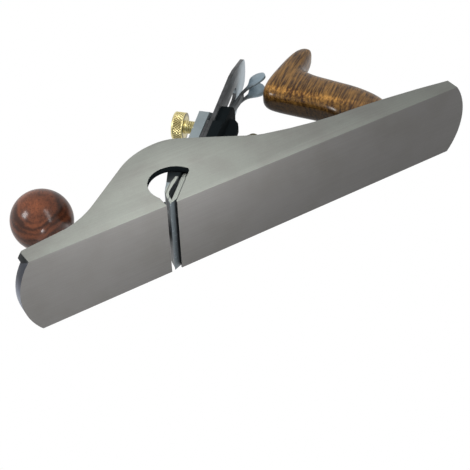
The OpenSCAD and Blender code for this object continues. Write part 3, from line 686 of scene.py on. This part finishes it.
class PLANE_OT_castings(Operator):
    """Ground and painted castings: the body, the frog and the Y lever"""

    bl_idname = "plane.castings"
    bl_label = "Castings"

    def execute(self, context):
        metal = context.scene.plane_metal
        cheek = ground_iron("Ground cheeks", metal.cheek, metal.patina)
        paint = black_japan("Black japan", metal.paint)
        end = end_iron("Casting ends", metal.toe, metal.paint)
        sole = ground_iron("Ground sole", metal.sole, metal.patina)
        in_order = [cheek, paint, end, sole]
        casting = eased_copy("body", in_order, metal.casting_edge)
        casting.data.polygons.foreach_set("material_index", self.finishes(casting.data))
        eased_copy("frog", [paint], metal.casting_edge)
        eased_copy("depth_lever", [paint], metal.steel_edge)
        return {"FINISHED"}

    def finishes(self, mesh):
        """Each face's material: ground outside and on the cheeks' upper edges, painted inside."""
        _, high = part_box("body")
        wall, skin, floor_top, end = 4.2 * MM, 0.6 * MM, 8.5 * MM, 150 * MM
        eye_x, eye_z, eye_radius = -54.5 * MM, 16.2 * MM, 16.8 * MM
        x, y, z = face_values(mesh, "center")
        to_x, to_y, to_z = face_values(mesh, "normal")
        outside = (np.abs(y) > high[1] - skin) & (np.abs(to_y) > 0.3)
        upper_edge = (np.abs(y) > high[1] - wall) & (to_z > 0.35) & (z > floor_top)
        in_eye = np.hypot(x - eye_x, z - eye_z) < eye_radius
        index = np.full(len(x), PAINT, np.int32)
        index[(np.abs(x) > end) & (np.abs(to_x) > 0.5)] = END
        index[outside | (upper_edge & ~in_eye)] = CHEEK
        index[(z < skin) & (to_z < -0.3)] = SOLE
        return index


class PLANE_OT_fittings(Operator):
    """Small steel pieces"""

    bl_idname = "plane.fittings"
    bl_label = "Steel fittings"

    def execute(self, context):
        metal = context.scene.plane_metal
        steel = machined_steel("Machined steel", metal.steel)
        for node in ("frog_screws", "frog_washers", "frog_adjusting_screw", "frog_clip",
                     "frog_clip_screw", "depth_stud", "depth_lever_pin", "lateral_pin",
                     "lateral_roller", "roller_rivet", "cap_iron_screw", "lever_cap_screw",
                     "knob_rod", "tote_rod"):
            eased_copy(node, [steel], metal.steel_edge)
        stem = lever_stem("Lateral lever steel", metal.ear_tone, metal.painted_shade)
        eased_copy("lateral_lever", [stem], metal.steel_edge)
        return {"FINISHED"}


class PLANE_OT_irons(Operator):
    """Iron, cap iron and lever cap"""

    bl_idname = "plane.irons"
    bl_label = "Irons and lever cap"

    def execute(self, context):
        metal = context.scene.plane_metal
        blade = iron_with_painted_light("Polished iron", metal.blade, metal.painted_shade)
        for node, spacing in (("cutter_iron", 0.9 * MM), ("cap_iron", 3.0 * MM)):
            side = iron_side("Sides of " + node, metal.cheek, metal.edge, spacing)
            piece = eased_copy(node, [blade, side], metal.steel_edge)
            sideways = np.abs(face_values(piece.data, "normal")[1]) > 0.4
            piece.data.polygons.foreach_set("material_index", sideways.astype(np.int32))
        lever = lever_steel("Satin lever cap", metal.lever, metal.paint)
        eased_copy("lever_cap", [lever], metal.steel_edge)
        return {"FINISHED"}


class PLANE_OT_brass(Operator):
    """Brass pieces, with their knurled rims"""

    bl_idname = "plane.brass"
    bl_label = "Brass pieces"

    def execute(self, context):
        metal, knurl = context.scene.plane_metal, context.scene.plane_knurl
        brass = aged_brass("Brass", metal.brass, metal.tarnish)
        for node in ("knob_nut", "tote_nut", "tote_toe_screw"):
            eased_copy(node, [brass], metal.steel_edge)
        self.thumb_screw(knurl, brass)
        # The depth wheel's brass is darkened as painted shade
        shaded_brass = aged_brass("Brass in painted shade", rgba(metal.brass, 0.12), rgba(metal.tarnish, 0.1))
        self.depth_wheel(knurl, shaded_brass)
        return {"FINISHED"}

    def thumb_screw(self, knurl, brass):
        """Threaded shank, knurled head with crowned edges and a shallow dish in its end."""
        r, shank = knurl.head_diameter / 2, knurl.shank_diameter / 2
        foot, top = knurl.head_out, knurl.head_out + knurl.head_height
        lower, upper = 0.6 * MM, 1.1 * MM
        turned = np.linspace(7.4 * MM, foot - 0.3 * MM, 90)
        knurled, count = diamond_knurl(r, knurl.pitch, knurl.depth, foot + lower, top - upper)
        thread = threaded(shank, knurl.thread, knurl.thread_depth, turned[0], turned[-1])
        profile = np.vstack([
            profile_from(0, 0, [0.02, 4.95], [3.6, 4.95], [3.85, 5.2], [3.85, 6.7]),
            np.c_[np.full(len(turned), shank), turned],
            [[shank, foot], [r - lower, foot]],
            crowned_rim(r, foot, top, lower, upper, rows=48, corner=6),
            profile_from(r, top, [-3.0, 0.0], [-3.4, -0.25]),
            profile_from(0, top, [2.6, -0.25], [1.6, -0.9], [0.02, -1.1]),
        ])
        local = revolve(profile, count * POINTS_PER_GROOVE,
                        lambda *grid: thread(knurled(*grid), *grid[1:]))
        groove = np.maximum(groove_depth(local, r, knurl.depth),
                            0.75 * groove_depth(local, shank, knurl.thread_depth))
        origin = np.array([BED_START, 0.0, 0.0]) + knurl.head_up * UP_BED
        points = local @ np.array([UP_BED, ACROSS_BED, OUT_OF_BED]) + origin
        piece = turned_piece("thumb_screw_finish", points, "thumb", brass, 40.0, groove)
        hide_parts("thumb_screw")

    def depth_wheel(self, knurl, brass):
        """Knurled disc with a dished face, on a grooved neck."""
        low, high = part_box("depth_wheel")
        r, axis_z = (high[2] - low[2]) / 2, (high[2] + low[2]) / 2
        neck, end = low[0], high[0]
        disc, face, crest, bore = neck + 7.4 * MM, neck + 12.1 * MM, 0.9 * MM, 3.55
        knurled, count = diamond_knurl(r, knurl.pitch, knurl.depth, disc + crest, face - crest)
        profile = np.vstack([
            profile_from(0, neck, [bore, 0.0], [8.2, 0.0], [9.0, 0.7], [9.0, 1.9], [7.0, 2.0],
                         [7.0, 7.2], [7.3, 7.4]),
            profile_from(r, disc, [-3.2, 0.0], [-2.6, 0.0], [-0.9, 0.0]),
            crowned_rim(r, disc, face, crest, crest, rows=30, corner=5),
            profile_from(r, face, [-2.4, 0.0], [-3.0, -0.6]),
            profile_from(0, face, [10.4, -0.6], [9.9, 0.0]),
            profile_from(0, end, [9.2, -0.3], [8.8, 0.0], [bore, 0.0]),
        ])
        local = revolve(profile, count * POINTS_PER_GROOVE, knurled)
        groove = groove_depth(local, r, knurl.depth)
        points = np.stack([local[..., 2], local[..., 0], local[..., 1] + axis_z], -1)
        piece = turned_piece("depth_wheel_finish", points, "depth_nut", brass, 40.0,
                             groove)
        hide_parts("depth_wheel")


class PLANE_OT_knob(Operator):
    """Front knob of red wood"""

    bl_idname = "plane.knob"
    bl_label = "Front knob"

    def execute(self, context):
        wood = context.scene.plane_wood
        # The knob is darkened toward its right side by painted shade
        rosewood = polished_wood(
            "Rosewood", wood.knob_dark, wood.knob_light,
            turns=[(0, 0, math.radians(-60.2)), (0, math.radians(39.4), 0)],
            pith=(0, -0.1039, -0.0921), ring=1700.0, bend=20.0, banding=0.85, streaking=0.9,
            figure=0.5, toward=(0.846, 0.018, -0.532), darkens=(-0.144, -0.124), left=0.33,
            pale=0.0)
        low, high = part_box("front_knob")
        r, centre, foot = wood.knob_ball / 2, wood.knob_height, wood.knob_foot
        # Angles round the ball, from its lowest point: the neck's end, and just before the hole
        hole = 6.4 * MM
        start, end = math.radians(40), math.pi - math.asin(hole / r) - 0.02
        neck = curve_through(np.vstack([
            profile_from(0, 0, [14.6, 11.0], [13.6, 14.0], [11.4, 20.5], [10.1, 28.5],
                         [9.9, 36.2], [10.7, 41.2]),
            [[r * math.sin(start), centre - r * math.cos(start)]],
        ]), 10)
        a = np.linspace(start, end, 60)[1:]
        mouth = centre + math.sqrt(r * r - hole * hole)
        profile = np.vstack([
            profile_from(0, foot, [3.2, 0.0], [13.2, 0.0], [13.9, 0.2], [14.5, 1.0]),
            neck,
            np.c_[r * np.sin(a), centre - r * np.cos(a)],
            profile_from(hole, mouth, [0.0, -0.3]),
            profile_from(0, centre + r, [6.4, -6.0], [3.2, -6.0]),
        ])
        points = revolve(profile, 128) + np.array([(low[0] + high[0]) / 2, 0, 0])
        body = body_of("front_knob")
        piece = turned_piece("front_knob_finish", points, body, rosewood, 45.0)
        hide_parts("front_knob")
        return {"FINISHED"}


class PLANE_OT_tote(Operator):
    """Rear tote of figured wood"""

    bl_idname = "plane.tote"
    bl_label = "Rear tote"

    def execute(self, context):
        wood = context.scene.plane_wood
        # The tote is darkened toward its lower front by painted shade, with a painted highlight before it
        figured = polished_wood(
            "Figured wood", wood.tote_dark, wood.tote_light,
            turns=[(0, math.radians(36.6), 0)], pith=(0, 0.05, 0.11), ring=1900.0, bend=22.0,
            banding=0.35, streaking=2.2, figure=0.35, toward=(-0.552, 0.715, -0.422),
            darkens=(-0.080, -0.0705), left=0.15, pale=0.8)
        points = self.surface(wood)
        m, n = points.shape[:2]
        ends = [list(range(n))[::-1], list(range((m - 1) * n, m * n))]
        faces = ring_faces(points, closed=False) + ends
        piece = new_piece("rear_tote_finish", points.reshape(-1, 3), faces, body_of("rear_tote"),
                          figured)
        outward(piece)
        self.drill(piece)
        smooth(piece, 40.0)
        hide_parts("rear_tote")
        return {"FINISHED"}

    def surface(self, wood):
        """Rings up the tote: M + u (B - F) / 2 along the plane and h w across it.

        F and B are the front and back outlines, M is halfway and h is half the thickness. The
        powers 2 / 2.9 of the angle's cosine and sine, with their signs, are u and w: a ring
        between an ellipse and a box.
        """
        front = np.array([
            [66.5, 0], [66, 8], [70.6, 14.4], [80, 19.6], [87, 28], [87.8, 38], [81.6, 51],
            [72, 64], [63.8, 75.6], [60.8, 82.6], [62.8, 89], [70.6, 95.8], [84.6, 104.2],
            [99, 112], [109.6, 116.4], [117, 116.8], [120.8, 115.2]])
        back = np.array([
            [133, 0], [132.8, 7], [130.8, 12.4], [128.8, 18.6], [126.8, 27], [125.4, 38],
            [121.2, 51], [113.8, 64.8], [106.2, 78.4], [103.4, 85.4], [102.2, 90], [102.6, 93.2],
            [105.2, 96.8], [110.6, 101.4], [116.4, 106.2], [120.8, 110.4], [122.2, 113.2]])
        half = np.array([1.0] * 12 + [0.98, 0.94, 0.84, 0.66, 0.26])[:, None] * wood.tote_width / 2
        steps = 9
        f, b = curve_through(front, steps) * MM, curve_through(back, steps) * MM
        h = curve_through(half, steps)
        angle = np.linspace(0, 2 * np.pi, 96, endpoint=False)
        u, w = (np.sign(v) * np.abs(v) ** (2 / 2.9) for v in (np.cos(angle), np.sin(angle)))
        middle, reach = (f + b) / 2, (b - f) / 2
        ring = middle[:, None, :] + u[None, :, None] * reach[:, None, :]
        return np.stack([ring[..., 0], h * w[None, :], ring[..., 1] + wood.tote_foot], -1)

    def drill(self, piece):
        """Cuts the stepped holes of the rod with its brass nut and of the toe screw."""
        lean = math.radians(22)
        rod_foot, rod_axis = np.array([113, 0, 8]), np.array([-math.sin(lean), 0, math.cos(lean)])
        toe_foot, toe_axis = np.array([74, 0, 8]), np.array([0, 0, 1.0])
        # Foot, axis, radius, start and end along the axis, in millimetres
        for foot, axis, radius, start, end in (
                (rod_foot, rod_axis, 6.4, 97, 120), (rod_foot, rod_axis, 3.2, -5, 98),
                (toe_foot, toe_axis, 5.1, 12, 40), (toe_foot, toe_axis, 2.7, -5, 13)):
            bm = bmesh.new()
            tilt = Matrix.Rotation(math.atan2(axis[0], axis[2]), 4, "Y")
            place = Matrix.Translation(Vector((foot + axis * (start + end) / 2) * MM)) @ tilt
            bmesh.ops.create_cone(bm, cap_ends=True, segments=64, radius1=radius * MM,
                                  radius2=radius * MM, depth=(end - start) * MM, matrix=place)
            mesh = bpy.data.meshes.new("drill")
            bm.to_mesh(mesh)
            bm.free()
            cutter = bpy.data.objects.new("drill", mesh)
            bpy.context.scene.collection.objects.link(cutter)
            cut = piece.modifiers.new("Drill", "BOOLEAN")
            cut.object = cutter
            cut.operation = "DIFFERENCE"
            cut.solver = "EXACT"
            apply_modifiers(piece)
            bpy.data.objects.remove(cutter)


def axes_matrix(place, right, up, back):
    """Matrix that puts a camera or lamp at a place, with its X, Y and Z along three directions."""
    return Matrix.Translation(place) @ Matrix((right, up, back)).transposed().to_4x4()


class PLANE_OT_stage(Operator):
    """Floor, lamps, world and camera"""

    bl_idname = "plane.stage"
    bl_label = "Stage"

    def execute(self, context):
        stage = context.scene.plane_stage
        context.scene.view_settings.view_transform = "Standard"
        self.world(context.scene, stage)
        self.floor(stage)
        for name, place, aim, along, sides, power, mirrored in LAMPS:
            self.lamp(name, Vector(place), Vector(aim), Vector(along), sides, power, mirrored)
        self.camera(context.scene, stage)
        return {"FINISHED"}

    def world(self, scene, stage):
        """Even light on surfaces, and plain white where the camera, metal or glass looks past."""
        world = bpy.data.worlds.new("Studio")
        scene.world = world
        world.use_nodes = True
        nodes, links = world.node_tree.nodes, world.node_tree.links
        rays = nodes.new("ShaderNodeLightPath")
        white = rays.outputs["Is Camera Ray"]
        for other in ("Is Transmission Ray", "Is Glossy Ray"):
            either = nodes.new("ShaderNodeMath")
            either.operation = "MAXIMUM"
            links.new(white, either.inputs[0])
            links.new(rays.outputs[other], either.inputs[1])
            white = either.outputs[0]
        level = nodes.new("ShaderNodeMapRange")
        links.new(white, level.inputs[0])
        level.inputs[3].default_value = stage.ambient
        level.inputs[4].default_value = 1.0
        background = nodes["Background"]
        background.inputs["Color"].default_value = (1, 1, 1, 1)
        links.new(level.outputs[0], background.inputs["Strength"])

    def floor(self, stage):
        """Pale floor just below the sole, clear from below, where the photograph looks up."""
        side, z = 3.0, -0.2 * MM
        verts = [(-side, -side, z), (side, -side, z), (side, side, z), (-side, side, z)]
        mesh = bpy.data.meshes.new("floor")
        mesh.from_pydata(verts, [], [(0, 1, 2, 3)])
        floor = bpy.data.objects.new("floor", mesh)
        bpy.context.scene.collection.objects.link(floor)
        f = Finish("Pale floor", Roughness=0.9, Base_Color=rgba(stage.floor))
        clear = f.node("ShaderNodeBsdfTransparent")
        below = f.node("ShaderNodeNewGeometry", output="Backfacing")
        pale = Socket(f, f.shader.outputs[0])
        shown = f.node("ShaderNodeMixShader", None, {0: below, 1: pale, 2: clear})
        f.tree.links.new(shown.link, f.tree.nodes["Material Output"].inputs["Surface"])
        mesh.materials.append(f.material)
        floor.visible_shadow = False
        floor.visible_diffuse = False
        floor.visible_glossy = False

    def lamp(self, name, place, aim, along, sides, power, mirrored):
        """Rectangular lamp that faces its aim, with its second side along a direction."""
        light = bpy.data.lights.new(name, "AREA")
        light.shape = "RECTANGLE"
        light.energy = power
        light.size, light.size_y = sides
        lamp = bpy.data.objects.new(name, light)
        bpy.context.scene.collection.objects.link(lamp)
        back = (place - aim).normalized()
        right = along.cross(back).normalized()
        lamp.matrix_world = axes_matrix(place, right, back.cross(right), back)
        lamp.visible_camera = False
        lamp.visible_glossy = mirrored

    def camera(self, scene, stage):
        """The photograph's own view."""
        data = bpy.data.cameras.new("Camera")
        data.lens = stage.lens
        data.clip_start, data.clip_end = 0.01, 20
        camera = bpy.data.objects.new("Camera", data)
        scene.collection.objects.link(camera)
        right, up = Vector(stage.camera_right).normalized(), -Vector(stage.camera_down).normalized()
        camera.matrix_world = axes_matrix(Vector(stage.camera_place), right, up, right.cross(up))
        scene.camera = camera


class PLANE_PT_panel(Panel):
    """Buttons for each group of pieces"""

    bl_idname = "PLANE_PT_panel"
    bl_label = "Rabbet plane"
    bl_space_type = "VIEW_3D"
    bl_region_type = "UI"
    bl_category = "Rabbet plane"

    def draw(self, context):
        for operator in OPERATORS:
            self.layout.operator(operator.bl_idname)


GROUPS = {"plane_metal": PlaneMetal, "plane_knurl": PlaneKnurl, "plane_wood": PlaneWood,
          "plane_stage": PlaneStage}
OPERATORS = (PLANE_OT_castings, PLANE_OT_fittings, PLANE_OT_irons, PLANE_OT_brass, PLANE_OT_knob,
             PLANE_OT_tote, PLANE_OT_stage)


def register():
    for cls in (*GROUPS.values(), *OPERATORS, PLANE_PT_panel):
        bpy.utils.register_class(cls)
    for name, group in GROUPS.items():
        setattr(bpy.types.Scene, name, PointerProperty(type=group))


def unregister():
    for name in GROUPS:
        delattr(bpy.types.Scene, name)
    for cls in reversed((*GROUPS.values(), *OPERATORS, PLANE_PT_panel)):
        bpy.utils.unregister_class(cls)


def main():
    """Makes every piece in order."""
    register()
    bpy.ops.plane.castings()
    bpy.ops.plane.fittings()
    bpy.ops.plane.irons()
    bpy.ops.plane.brass()
    bpy.ops.plane.knob()
    bpy.ops.plane.tote()
    bpy.ops.plane.stage()


if __name__ == "__main__":
    main()
